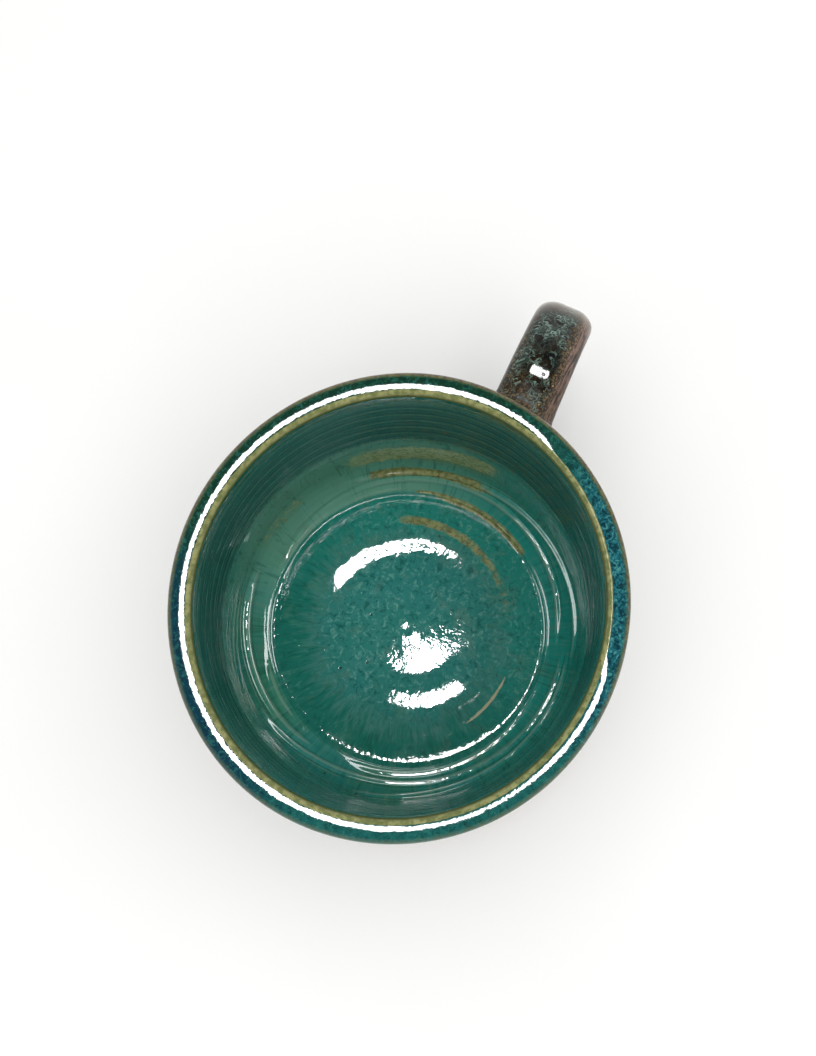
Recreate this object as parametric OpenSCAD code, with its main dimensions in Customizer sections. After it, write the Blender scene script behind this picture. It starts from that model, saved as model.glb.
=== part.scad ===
// Wheel-thrown stoneware mug: the thrown clay body, the pulled strap handle, the two luted
// joints that hold it, and the four coats of glaze that the kiln melts onto the clay.
// Millimetres, +Z up. The origin is the centre of the foot's resting plane, on the axis of the
// thrown body. +X points from that axis to where the handle leaves the wall.

/* [Body] */
// Height from the foot to the top of the lip
mug_h = 91; // [86:1:98]
// Diameter over the glazed rim
rim_d = 100; // [96:1:104]
// Diameter over the belly
belly_d = 103; // [101:1:106]
// Diameter over the narrowest part of the neck
neck_d = 98.8; // [97:0.2:99.6]
// Width of the glazed lip
lip_w = 5.4; // [4.6:0.1:6]
// Height of the widest part of the belly
belly_z = 40; // [36:1:46]
// Diameter where the rounded underside meets the foot
heel_d = 78; // [76:1:82]

/* [Foot] */
// Outside diameter of the trimmed foot ring
foot_d = 72; // [66:1:74]
// Width of the foot ring
foot_w = 5; // [4:0.5:7]
// Height of the foot ring on its outside
foot_h = 5; // [4:0.5:6]
// Depth of the recess trimmed inside the foot ring
recess_h = 4; // [3:0.5:5]
// Bevel that takes the sharp edges off the foot ring
foot_bevel = 0.8; // [0.5:0.1:1.2]

/* [Inside] */
// Widest inside diameter
bowl_d = 91.2; // [90:0.2:92]
// Radius of the curve from the wall to the floor
corner_r = 13; // [11:1:15]
// Height of the glassy pool of glaze that covers the floor
pool_z = 11; // [10:0.1:12]

/* [Glaze] */
// Thickness of a coat of glaze
glaze_t = 0.7; // [0.5:0.1:0.9]
// Height of the lower edge of the outside glaze
glaze_line = 11; // [8:1:14]
// How far the rim glaze runs down the outside
rim_outside = 7; // [5:1:12]
// How far the rim glaze runs down the inside
rim_inside = 4.5; // [3.5:0.5:8]

/* [Handle] */
// Width of the glazed strap at its middle
strap_w = 14; // [12:0.2:18]
// Thickness of the glazed strap at its middle
strap_t = 8.8; // [7:0.2:10]
// How much thicker the strap is at the top than at the bottom, as a share
strap_taper = 0.2; // [0:0.02:0.3]
// How far the strap's centreline stands out from the mug's axis
handle_reach = 82.6; // [78:0.2:88]
// Height of the upper root's centre
root_top = 73; // [70:1:75]
// Height of the lower root's centre
root_bottom = 24; // [23:1:30]
// Extra thickness of the strap where it is luted to the wall
root_flare = 4.5; // [3:0.5:6]
// Turn of the hand-set handle off the radial line, in degrees
handle_skew = 8; // [0:1:10]

/* [Hidden] */
$fn = 96;

rim_r = rim_d / 2;
belly_r = belly_d / 2;
neck_r = neck_d / 2;
heel_r = heel_d / 2;
foot_r = foot_d / 2;
foot_in_r = foot_r - foot_w;
bowl_r = bowl_d / 2;
lip_r = lip_w / 2;
lip_z = mug_h - lip_r;
lip_in_r = rim_r - lip_w;
neck_z = lip_z - 18;
bowl_z = 44;
pool_deep = 1;
corner_z = pool_z - pool_deep + corner_r;
clay_floor_z = pool_z - pool_deep - glaze_t;
rim_out_z = mug_h - rim_outside;
rim_in_z = mug_h - rim_inside;
wall_steps = 12;
arc_steps = 12;

strap_sides = 24;
strap_squareness = 2.7;
root_r = 46;
joint_share = 0.09;
flare_share = 0.16;
joint_steps = 5;
strap_steps = 34;

stoneware = [0.56, 0.43, 0.34];
teal = [0.10, 0.42, 0.38];
rim_blue = [0.06, 0.30, 0.34];
tenmoku = [0.13, 0.12, 0.10];

// ---- curves of the thrown form ----

function ease(t) = t <= 0 ? 0 : t >= 1 ? 1 : t * t * (3 - 2 * t);

// Radius of the glazed outside at height z, above the belly
function upper_r(z) =
    belly_r - (belly_r - neck_r) * pow((z - belly_z) / (lip_z - belly_z), 2)
    + (rim_r - neck_r) * ease((z - neck_z) / (lip_z - neck_z));

// Radius of the glazed outside at height z, from the belly round to the foot
function lower_r(z) =
    heel_r + (belly_r - heel_r) * pow(1 - pow((belly_z - z) / (belly_z - foot_h), 3), 1 / 1.9);

// Radius of the glazed inside at height z, above the corner
function inner_r(z) =
    bowl_r - (bowl_r - lip_in_r) * pow(max(z - bowl_z, 0) / (lip_z - bowl_z), 2);

function stretch(a, b, n) = [for (i = [0 : n]) a + (b - a) * i / n];

function arc(centre, r, from, to) =
    [for (a = stretch(from, to, arc_steps)) centre + r * [cos(a), sin(a)]];

function turn_of(z) = asin((belly_z - z) / (belly_z - foot_h));

function underside_line(a, b, inset) =
    [for (q = stretch(turn_of(a), turn_of(b), wall_steps))
        let (z = belly_z - (belly_z - foot_h) * sin(q)) [lower_r(z) - inset, z]];

function outside_line(a, b, inset) =
    [for (z = stretch(a, b, wall_steps)) [upper_r(z) - inset, z]];

function inside_line(a, b, inset) =
    [for (z = stretch(a, b, wall_steps)) [inner_r(z) + inset, z]];

// Over the lip, from outside to inside
function lip_line(inset) = arc([rim_r - lip_r, lip_z], lip_r - inset, 0, 180);

// Down the inside corner, from the wall to height z
function corner_line(z, inset) =
    let (r = corner_r + inset)
    arc([bowl_r - corner_r, corner_z], r, 0, -asin(min(1, (corner_z - z) / r)));

// The recess, the resting face and the outside of the trimmed foot ring
function foot_line() = [
    [0, recess_h],
    [foot_in_r - foot_bevel, recess_h],
    [foot_in_r, recess_h - foot_bevel],
    [foot_in_r, foot_bevel],
    [foot_in_r + foot_bevel, 0],
    [foot_r - foot_bevel, 0],
    [foot_r, foot_bevel],
    [foot_r, foot_h]];

function reversed(points) = [for (i = [len(points) - 1 : -1 : 0]) points[i]];

// ---- the thrown body and the coats of glaze on it ----

module thrown_body() {
    color(stoneware)
        rotate_extrude()
            polygon(concat(
                foot_line(),
                underside_line(foot_h, belly_z, glaze_t),
                outside_line(belly_z, lip_z, glaze_t),
                lip_line(glaze_t),
                inside_line(lip_z, corner_z, glaze_t),
                corner_line(clay_floor_z, glaze_t),
                [[0, clay_floor_z]]));
}

module liner_glaze() {
    color(teal)
        rotate_extrude()
            polygon(concat(
                inside_line(rim_in_z, corner_z, 0),
                corner_line(pool_z, 0),
                [[0, pool_z], [0, clay_floor_z]],
                reversed(corner_line(clay_floor_z, glaze_t)),
                inside_line(corner_z, rim_in_z, glaze_t)));
}

module rim_glaze() {
    color(rim_blue)
        rotate_extrude()
            polygon(concat(
                outside_line(rim_out_z, lip_z, 0),
                lip_line(0),
                inside_line(lip_z, rim_in_z, 0),
                inside_line(rim_in_z, lip_z, glaze_t),
                reversed(lip_line(glaze_t)),
                outside_line(lip_z, rim_out_z, glaze_t)));
}

module outside_glaze() {
    color(tenmoku)
        difference() {
            rotate_extrude()
                polygon(concat(
                    underside_line(glaze_line, belly_z, 0),
                    outside_line(belly_z, rim_out_z, 0),
                    outside_line(rim_out_z, belly_z, glaze_t),
                    underside_line(belly_z, glaze_line, glaze_t)));
            strap(0, joint_steps);
            strap(joint_steps + strap_steps, last_station);
        }
}

// Everything inside the outer surface, to trim the handle to the wall
module body_envelope(inset) {
    rotate_extrude()
        polygon(concat(
            [[0, foot_h]],
            underside_line(foot_h, belly_z, inset),
            outside_line(belly_z, lip_z, inset),
            [[0, lip_z]]));
}

// ---- the pulled handle ----

// Control points of its centreline, as [distance from the axis, height]
strap_controls = [
    [root_r, root_top],
    [root_r + 16, root_top + 8],
    [handle_reach + 13, root_top + 8],
    [handle_reach + 12, root_bottom + 10],
    [root_r + 20, root_bottom + 2],
    [root_r, root_bottom]];

// Where the strap's cross-sections stand along its length, from the upper root to the lower
stations = concat(
    stretch(0, joint_share, joint_steps),
    [for (i = [1 : strap_steps - 1]) joint_share + (1 - 2 * joint_share) * i / strap_steps],
    stretch(1 - joint_share, 1, joint_steps));
last_station = len(stations) - 1;

function bezier(p, t) =
    len(p) == 1 ? p[0]
    : bezier([for (i = [0 : len(p) - 2]) p[i] * (1 - t) + p[i + 1] * t], t);

function strap_way(t) =
    let (d = bezier([for (i = [0 : 4]) strap_controls[i + 1] - strap_controls[i]], t))
    d / norm(d);

// 1 at the wall, fading to 0 along the strap
function flare(t) = pow(max(0, 1 - min(t, 1 - t) / flare_share), 2);

function strap_width(t) =
    strap_w * (1 + strap_taper * (0.5 - t) * 0.5) + 0.4 * root_flare * flare(t);

function strap_thickness(t) = strap_t * (1 + strap_taper * (0.5 - t)) + root_flare * flare(t);

function superellipse(a) =
    [sign(cos(a)) * pow(abs(cos(a)), 2 / strap_squareness),
     sign(sin(a)) * pow(abs(sin(a)), 2 / strap_squareness)];

function strap_ring(t, inset) =
    let (c = bezier(strap_controls, t), d = strap_way(t))
    [for (k = [0 : strap_sides - 1])
        let (s = superellipse(360 * (k + 0.5) / strap_sides),
             across = s[0] * (strap_width(t) / 2 - inset),
             up = s[1] * (strap_thickness(t) / 2 - inset))
        [c[0] - d[1] * up, across, c[1] + d[0] * up]];

// The band of faces between two rings of points
function band(first, second, flip) =
    [for (k = [0 : strap_sides - 1])
        let (n = (k + 1) % strap_sides)
        each flip
            ? [[first + k, second + n, second + k], [first + k, first + n, second + n]]
            : [[first + k, second + k, second + n], [first + k, second + n, first + n]]];

module set_handle() {
    translate([root_r, 0, 0]) rotate([0, 0, handle_skew]) translate([-root_r, 0, 0]) children();
}

// The clay strap from one station to another, with flat ends
module strap(a, b) {
    n = strap_sides;
    steps = b - a;
    points = [for (i = [a : b]) each strap_ring(stations[i], glaze_t)];
    faces = concat(
        [[for (k = [0 : n - 1]) k]],
        [for (i = [0 : steps - 1]) each band(i * n, (i + 1) * n, false)],
        [[for (k = [n - 1 : -1 : 0]) steps * n + k]]);
    set_handle() polyhedron(points, faces);
}

// The coat round the whole strap, open at both ends
module strap_coat() {
    n = strap_sides;
    rings = last_station + 1;
    points = [for (inset = [0, glaze_t]) for (t = stations) each strap_ring(t, inset)];
    faces = concat(
        [for (i = [0 : rings - 2]) each band(i * n, (i + 1) * n, false)],
        [for (i = [0 : rings - 2]) each band((rings + i) * n, (rings + i + 1) * n, true)],
        band(rings * n, 0, false),
        band((rings - 1) * n, (2 * rings - 1) * n, false));
    set_handle() polyhedron(points, faces);
}

module pulled_handle() {
    color(stoneware)
        strap(joint_steps, joint_steps + strap_steps);
}

module handle_joint(a, b) {
    color(stoneware)
        difference() {
            strap(a, b);
            body_envelope(glaze_t);
        }
}

module upper_handle_joint() {
    handle_joint(0, joint_steps);
}

module lower_handle_joint() {
    handle_joint(joint_steps + strap_steps, last_station);
}

module handle_glaze() {
    color(tenmoku)
        difference() {
            strap_coat();
            body_envelope(0);
        }
}

thrown_body();
pulled_handle();
upper_handle_joint();
lower_handle_joint();
liner_glaze();
rim_glaze();
outside_glaze();
handle_glaze();
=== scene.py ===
"""A wheel-thrown stoneware mug: teal liner, blue-green lip, dark mottled handle and outside.

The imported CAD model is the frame. Each thrown or pulled piece is rebuilt here as a fine closed
mesh on the same curves, with the throwing rings, finger marks and small irregularities of the
real pot, and every surface gets a procedural glaze or clay. Curves are worked out in millimetres.
"""
import math
import random

import bpy
import numpy as np
from mathutils import Matrix, Vector


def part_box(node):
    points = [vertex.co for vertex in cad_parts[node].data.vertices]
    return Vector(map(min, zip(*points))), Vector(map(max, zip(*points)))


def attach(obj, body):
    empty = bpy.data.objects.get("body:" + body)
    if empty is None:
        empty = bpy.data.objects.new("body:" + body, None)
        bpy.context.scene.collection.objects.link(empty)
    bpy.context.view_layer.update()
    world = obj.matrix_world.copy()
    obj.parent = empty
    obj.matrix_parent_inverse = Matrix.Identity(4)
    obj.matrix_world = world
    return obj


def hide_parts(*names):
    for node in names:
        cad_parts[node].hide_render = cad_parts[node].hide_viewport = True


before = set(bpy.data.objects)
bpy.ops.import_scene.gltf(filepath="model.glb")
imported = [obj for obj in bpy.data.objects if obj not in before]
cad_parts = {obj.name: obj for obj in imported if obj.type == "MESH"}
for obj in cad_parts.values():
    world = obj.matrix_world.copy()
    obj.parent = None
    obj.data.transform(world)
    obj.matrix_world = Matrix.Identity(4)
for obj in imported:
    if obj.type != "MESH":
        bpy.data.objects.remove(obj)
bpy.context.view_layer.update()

MM = 0.001
TAU = 2 * math.pi


def box_mm(node):
    low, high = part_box(node)
    return [1000 * v for v in low], [1000 * v for v in high]


# ---------------- sizes, in millimetres

rim_low, rim_high = box_mm("rim_glaze")
liner_low, liner_high = box_mm("liner_glaze")
coat_low, coat_high = box_mm("outside_glaze")

GLAZE = 0.7  # thickness of a coat of glaze
MUG_H = rim_high[2]
RIM_R = 50.0
NECK_R = 49.4
BELLY_R = coat_high[1]
HEEL_R = 39.0
LIP_W = 5.4
LIP_Z = MUG_H - LIP_W / 2
NECK_Z = LIP_Z - 18
BELLY_Z = 40.0
FOOT_R, FOOT_IN_R, FOOT_H, RECESS_H = 36.0, 31.0, 5.0, 4.0
BOWL_R, BOWL_Z = 45.6, 44.0
CORNER_R = 13.0  # bend from the floor up to the wall, inside
CLAY_FLOOR_Z = liner_low[2]
POOL_Z = CLAY_FLOOR_Z + 1.0 + GLAZE
CORNER_Z = POOL_Z - 1.0 + CORNER_R
POOL_TURN = math.asin((CORNER_Z - POOL_Z) / CORNER_R)
POOL_R = BOWL_R - CORNER_R + CORNER_R * math.cos(POOL_TURN)
CORNER_ARC = CORNER_R * POOL_TURN
RIM_OUT_Z = rim_low[2]
RIM_IN_Z = liner_high[2]
WALL_LENGTH = CORNER_ARC + (RIM_IN_Z - CORNER_Z)
GLAZE_LINE = coat_low[2]
GLAZE_ROLL_H = 3.2  # the thick roll in which the outside coat stops
CORE_GAP = 0.03  # the clay stands back from the glaze by this

# The kiln and the pull of the handle draw the round lip out to an oval and shift it.
WARP_START_Z = 16
WARP_OVAL = 0.035
WARP_SHIFT = 1.0

# Throwing rings: height of one turn of the thrower's fingers, inside, fine and outside.
RING_PITCH, FINE_PITCH, OUTER_PITCH = 6.4, 1.9, 8.2
LEDGE_TILT = math.radians(4)

POLE_R = 0.35  # the smallest ring round the axis, closed by a fan
SEGMENTS = 300
PHI = np.arange(SEGMENTS) * TAU / SEGMENTS

STRAP_ROOT_R = 46.0
STRAP_W, STRAP_T, STRAP_TAPER, ROOT_FLARE = 14.0, 8.8, 0.2, 4.5
STRAP_SKEW = math.radians(8)
STRAP_BEVEL = 2.0  # taken off the back of the strap along one side
BEVEL_FADE = (0.24, 0.36)  # stations between which the bevel falls to a fifth
SECTION_POWER = 2 / 2.7  # how square the strap's section is
ROOT_FILLET = 3.4
ROOT_DEPTH = 1.2  # how far the strap's centre starts inside the outer wall
STRAP_CONTROLS = [(46, 73), (62, 81), (95.6, 81), (94.6, 34), (66, 26), (46, 24)]


# ---------------- small tools

def smooth(lo, hi, x):
    """0 below lo and 1 above hi, with a soft change between them."""
    t = np.clip((np.asarray(x, float) - lo) / (hi - lo), 0, 1)
    return t * t * (3 - 2 * t)


def turn_gap(phi, centre_deg):
    """Angle from a direction, in degrees, from -180 to 180."""
    return (np.degrees(phi) - centre_deg + 180) % 360 - 180


def wobble(seed, first=1, last=6, drift=0.0):
    """A hand-made unevenness round the pot: f(angle, height) between about -1 and 1."""
    rng = random.Random(seed)
    waves = [(k, rng.uniform(0.4, 1) / math.sqrt(k), rng.uniform(0, TAU), rng.uniform(-drift, drift))
             for k in range(first, last + 1)]
    total = sum(a for _, a, _, _ in waves)

    def value(phi, t=0.0):
        return sum(a * np.cos(k * phi + p + d * t) for k, a, p, d in waves) / total * 1.6

    return value


# ---------------- the thrown form

def upper_r(z):
    t = np.clip((z - BELLY_Z) / (LIP_Z - BELLY_Z), 0, 1.2)
    return BELLY_R - (BELLY_R - NECK_R) * t ** 2 + (RIM_R - NECK_R) * smooth(NECK_Z, LIP_Z, z)


def lower_r(z):
    u = np.clip((BELLY_Z - z) / (BELLY_Z - FOOT_H), 0, 1)
    return HEEL_R + (BELLY_R - HEEL_R) * (1 - u ** 3) ** (1 / 1.9)


def outer_r(z):
    z = np.asarray(z, float)
    return np.where(z >= BELLY_Z, upper_r(z), lower_r(z))


def inner_r(z):
    z = np.asarray(z, float)
    t = np.clip((z - BOWL_Z) / (LIP_Z - BOWL_Z), 0, 1.2)
    return BOWL_R - (BOWL_R - (RIM_R - LIP_W)) * t ** 2


lip_sway = wobble(11, 1, 4)
hand_bend = wobble(12, 2, 5, 0.02)


def warp(phi, z):
    """How much of the warp is reached at a height, and how far the wall is drawn out there."""
    lift = smooth(WARP_START_Z, MUG_H, z)
    return lift, 1 + WARP_OVAL * lift * 0.5 * (1 + np.cos(2 * phi))


def fired_shape(x, y, z):
    """The pull of the handle and the kiln on the round form: the lip is about 4 per cent oval."""
    phi = np.arctan2(y, x)
    lift, grow = warp(phi, z)
    grow = grow + 0.0025 * lift * hand_bend(phi, z)
    return (x * grow + WARP_SHIFT * lift, y * grow + WARP_SHIFT * lift,
            z + 0.16 * smooth(62, MUG_H, z) * lip_sway(phi))


# ---- relief of the inside ----

ring_wave = wobble(51, 1, 7, 0.06)

# Throwing ledges on the lower wall: (how fully it flattens the slope, half width, then the
# degrees round from the handle and the distance up from the pool's edge of points along it)
LEDGES = [
    (1.00, 0.80, (27, 2.3), (62, 1.7), (100, 1.0)),
    (0.95, 0.75, (132, 2.1), (148, 2.6), (164, 2.2)),
    (1.00, 0.85, (188, 2.3), (242, 1.4), (287, 0.6)),
    (1.00, 0.85, (100, 8.4), (137, 7.3), (174, 4.3)),
    (1.15, 0.62, (150, 11.0), (167, 7.3), (184, 6.0), (212, 4.6), (245, 4.8), (292, 6.0)),
    (1.05, 0.58, (196, 12.5), (208, 9.8), (227, 8.6), (262, 8.0), (292, 7.6)),
    (1.05, 0.60, (-68, 10.2), (-13, 9.3), (4, 7.9), (52, 7.0)),
    (1.10, 0.62, (-63, 3.5), (-28, 4.9), (7, 5.9), (32, 4.4), (72, 2.2), (92, 1.6)),
    (0.55, 0.60, (108, 15.0), (125, 14.2), (146, 17.5)),
    (0.45, 0.70, (106, 19.5), (125, 20.6), (144, 19.0)),
]


def steepness(u):
    """Slope of the plain inside curve, in radians from level, at u up from the pool's edge."""
    return np.clip(math.pi / 2 - POOL_TURN + np.asarray(u, float) / CORNER_R, 0, math.pi / 2)


def ledge_at(ledge, phi):
    """Where one ledge runs at each angle, and how strong it is there."""
    points = ledge[2:]
    first, last = points[0][0], points[-1][0]
    fit = np.polyfit([(p[0] - first) / 60 for p in points], [p[1] for p in points],
                     min(len(points) - 1, 3))
    along = (np.degrees(phi) - first + 25) % 360 - 25
    strength = smooth(-5, 14, along) * (1 - smooth(last - first - 14, last - first + 5, along))
    return np.polyval(fit, np.clip(along, -5, last - first + 5) / 60), strength


def wall_relief(phi, u):
    """How far the inside stands in from its curve; u is the distance up from the pool's edge."""
    total = np.zeros(np.broadcast(phi, u).shape)
    for ledge in LEDGES:
        here, strength = ledge_at(ledge, phi)
        lean = np.minimum(np.tan(np.minimum(steepness(here) - LEDGE_TILT, 1.02)), 1.5)
        x = (u - here) / ledge[1]
        total = total - ledge[0] * strength * lean * ledge[1] * x * np.exp(-x * x / 2)
    climb = u / RING_PITCH + phi / TAU
    rings = np.cos(TAU * climb) + 0.5 * np.cos(2 * TAU * climb + 1.1)
    fine = np.cos(TAU * (0.78 * u / FINE_PITCH + phi / TAU) + 1.4 * ring_wave(phi, u))
    upward = smooth(24, 34, u)
    calm = 1 - smooth(70, 77, u)
    total = total + calm * (0.13 * upward * rings * (0.8 + 0.5 * ring_wave(phi, u)) + 0.02 * fine)
    return total + 0.5 * smooth(8, 22, u) * (1 - smooth(24, 40, u)) * hand_bend(phi, 3.0)


def arc(r, phi, start, span, ramp, crest, drift, half, high, tilt=0.0, shelf=False):
    """A flat-topped ridge along part of a spiral, from start degrees on, span degrees long.

    A shelf stays high from its crest out to the pool's edge.
    """
    along = (np.degrees(phi) - start) % 360
    seen = smooth(0, ramp, along) * (1 - smooth(span - 34, span, along))
    off = r - crest - drift * along
    if shelf:
        across = np.exp(-(np.minimum(off, 0) / half) ** 4) * (1 - smooth(POOL_R - 2.2, POOL_R - 0.2, r))
    else:
        across = np.exp(-(off / half) ** 4)
    return (high + tilt * off) * seen * across


def floor_relief(phi, r):
    """Height of the glaze pool over its level.

    A low mound, the two arms of the spiral left by one finger, a blister, and the edge where the
    glaze creeps up the wall, which is wider on the side away from the handle.
    """
    x, y = r * np.cos(phi), r * np.sin(phi)
    mound = 0.15 * np.exp(-(r / 5.2) ** 2) - 0.06 * np.exp(-(r / 1.6) ** 2)
    near = arc(r, phi, 163, 126, 36, 17.8, 0.03, 5.4, 0.33, 0.016)
    spread = smooth(50, 95, (np.degrees(phi) + 43) % 360)
    far = arc(r, phi, -35, 148, 62, 28.2, 0.02, 6.0 + 1.6 * spread, 0.30 + 0.06 * spread, shelf=True)
    blister = 0.05 * np.exp(-((x + 12.5) ** 2 + (y + 1.2) ** 2) / 1.6 ** 2)
    full = np.exp(-(turn_gap(phi, 204) / 48) ** 4)
    meniscus = 0.30 * np.exp(-(POOL_R - np.clip(r, 0, POOL_R)) / (0.45 + 0.75 * full))
    return mound + near + far + blister + meniscus - 0.30


# ---- relief of the outside ----

outer_wave = wobble(61, 1, 6, 0.05)
outer_soft = wobble(62, 2, 5, 0.03)


def outside_relief(phi, z):
    climb = z / OUTER_PITCH + phi / TAU
    rings = np.cos(TAU * climb) + 0.4 * np.cos(2 * TAU * climb + 0.7)
    held = smooth(13, 22, z) * (1 - smooth(74, 86, z))
    return held * (0.16 * rings * (0.8 + 0.5 * outer_wave(phi, z)) + 0.12 * outer_soft(phi, z))


# ---------------- meshes

def store(obj, values_by_name):
    for name, values in values_by_name.items():
        layer = obj.data.attributes.new(name, "FLOAT", "POINT")
        layer.data.foreach_set("value", np.asarray(values, np.float32).ravel())


def make_object(name, points_mm, faces, attributes, material):
    mesh = bpy.data.meshes.new(name)
    mesh.from_pydata((np.asarray(points_mm) * MM).tolist(), [], faces)
    mesh.validate()
    mesh.polygons.foreach_set("use_smooth", [True] * len(mesh.polygons))
    obj = bpy.data.objects.new(name, mesh)
    bpy.context.scene.collection.objects.link(obj)
    store(obj, attributes)
    mesh.materials.append(material)
    mesh.update()
    return obj


def grid_faces(rows, columns, wrap_rows=False):
    """Quads between rings of points, wound so that going up a ring then on round faces outwards."""
    faces = []
    for j in range(rows if wrap_rows else rows - 1):
        a, b = j * columns, ((j + 1) % rows) * columns
        for i in range(columns):
            n = (i + 1) % columns
            faces.append((a + i, a + n, b + n, b + i))
    return faces


def close_ends(points, data, faces, columns, first_flip):
    """Close the first and the last ring with a fan of triangles round its middle."""
    last = len(points) - columns
    for start, flip in ((0, first_flip), (last, not first_flip)):
        points = np.vstack([points, points[start:start + columns].mean(axis=0)])
        data = {n: np.append(v, v[start:start + columns].mean()) for n, v in data.items()}
        tip = len(points) - 1
        for i in range(columns):
            a, b = start + i, start + (i + 1) % columns
            faces.append((b, a, tip) if flip else (a, b, tip))
    return points, data


def round_piece(name, rows, material, poles=False):
    """A piece turned about the pot's axis.

    rows is a list of rings, each (radius, height, attributes) with one value or one per angle.
    They run up the outside and down the inside, so that faces point outwards. With poles, the
    first and last ring close on the axis.
    """
    def spread(values):
        return np.stack([np.broadcast_to(value, PHI.shape) for value in values])

    r = spread([row[0] for row in rows])
    z = spread([row[1] for row in rows])
    data = {n: spread([row[2][n] for row in rows]).ravel() for n in sorted(rows[0][2])}
    x, y, z = fired_shape(r * np.cos(PHI), r * np.sin(PHI), z)
    points = np.stack([x, y, z], axis=-1).reshape(-1, 3)
    faces = grid_faces(len(rows), SEGMENTS, not poles)
    if poles:
        points, data = close_ends(points, data, faces, SEGMENTS, True)
    return make_object(name, points, faces, data, material)


def ring(r, z, **attributes):
    return (r, z, attributes)


def outside_ring(z, inset, **attributes):
    return ring(outer_r(z) + outside_relief(PHI, z) - inset, z, **attributes)


# ---- the liner ----

def strip(phi, start, end, at, centre, half):
    """1 along part of a ring, from start to end degrees from the handle, and 0 away from it."""
    along = (np.degrees(phi) - start + 20) % 360 - 20
    return smooth(-6, 7, along) * (1 - smooth(end - start - 7, end - start + 6, along)) \
        * np.exp(-(np.abs(at - centre) / half) ** 3)


def worn_floor(phi, r):
    """Where the pool is worn to olive: a faint arc towards the handle, and part of its edge."""
    along = (np.degrees(phi) + 53) % 360
    return (0.42 + 0.30 * smooth(5, 60, along)) * strip(phi, -53, 37, r, 27.4 + 0.032 * along, 1.6) \
        + 0.85 * strip(phi, -26, 20, r, POOL_R - 0.1, 1.1)


def worn_wall(phi, u):
    """Where the wall is worn to olive: the ledges and the swelling below the handle."""
    return 0.85 * strip(phi, -26, 30, u, 0.3, 0.9) + 0.85 * strip(phi, 0, 47, u, 6.9, 1.9) \
        + 1.10 * strip(phi, 1, 52, u, 22.0 - 0.10 * turn_gap(phi, 26), 7.6) \
        + 0.45 * strip(phi, 66, 96, u, 11.0, 4.0)


def pool_ring(r, back=False):
    if back:
        return ring(r, CLAY_FLOOR_Z, thin=0.0, pool=1.0, up=0.0, worn=0.0, scratch=0.0)
    mark = strip(PHI, 243, 277, r, 29.9 - 0.012 * ((np.degrees(PHI) - 243) % 360), 0.42)
    return ring(r, POOL_Z + floor_relief(PHI, r), thin=0.0, worn=worn_floor(PHI, r), scratch=mark,
                pool=1 - smooth(POOL_R - 0.6, POOL_R + 0.4, r), up=0.0)


def wall_point(u, inset=0.0):
    """Radius and height of the inside at distance u up from the pool's edge."""
    if u < CORNER_ARC:
        turn = POOL_TURN - u / CORNER_R
        nr, nz = -math.cos(turn), math.sin(turn)
        r = BOWL_R - CORNER_R + CORNER_R * math.cos(turn)
        z = CORNER_Z - CORNER_R * math.sin(turn)
    else:
        z = CORNER_Z + (u - CORNER_ARC)
        r, nr, nz = inner_r(z), -1.0, 0.0
    step = wall_relief(PHI, u) - inset
    return r + nr * step, z + nz * step


def thinness(u):
    """Where the liner runs thin: on the crests of the ledges, and towards the lip."""
    here = wall_relief(PHI, u)
    around = 0.5 * (wall_relief(PHI, u - 1.3) + wall_relief(PHI, u + 1.3))
    return np.clip((here - around) / 0.34, 0, 1) * (1 - smooth(34, 44, u)) \
        + 0.5 * smooth(WALL_LENGTH - 3.5, WALL_LENGTH, u)


def make_liner(material):
    rows = [pool_ring(r) for r in np.linspace(POLE_R, POOL_R - 2.2, 72)]
    rows += [pool_ring(r) for r in np.linspace(POOL_R - 1.9, POOL_R, 14)]
    steps = list(np.arange(0.15, 13.2, 0.17)) + list(np.arange(13.35, 26, 0.4)) \
        + list(np.linspace(26.2, WALL_LENGTH, 72))
    for u in steps:
        r, z = wall_point(u)
        z = z + 0.30 * math.exp(-u / 0.35)
        rows.append(ring(r, z, thin=thinness(u), pool=1 - smooth(-0.4, 0.9, u), up=u,
                         worn=worn_wall(PHI, u), scratch=0.0))
    for u in np.linspace(WALL_LENGTH, 0.0, 44):
        r, z = wall_point(u, GLAZE)
        rows.append(ring(r, z, thin=0.0, pool=0.0, up=u, worn=0.0, scratch=0.0))
    rows += [pool_ring(r, back=True) for r in np.linspace(33.5, POLE_R, 8)]
    return round_piece("liner_skin", rows[::-1], material, poles=True)


# ---- the lip ----

LIP_OUT_R, LIP_FLAT, LIP_IN_R = 2.05, 1.95, 1.5
LIP_TURN = 5.0  # mean slope of the lip's flat, in degrees
LIP_MID_R = RIM_R - LIP_OUT_R * 1.05 - LIP_FLAT / 2

lip_tilt = wobble(21, 1, 9)
lip_fine = wobble(22, 9, 40)


def lip_flat_turn(phi):
    """Slope of the lip's flat, in degrees, falling inwards; on one side it rolls outwards."""
    rolled = np.exp(-(np.abs(turn_gap(phi, -43.5)) / 26) ** 4)
    return 5.8 + 0.2 * lip_tilt(phi) - 13 * rolled


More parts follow.
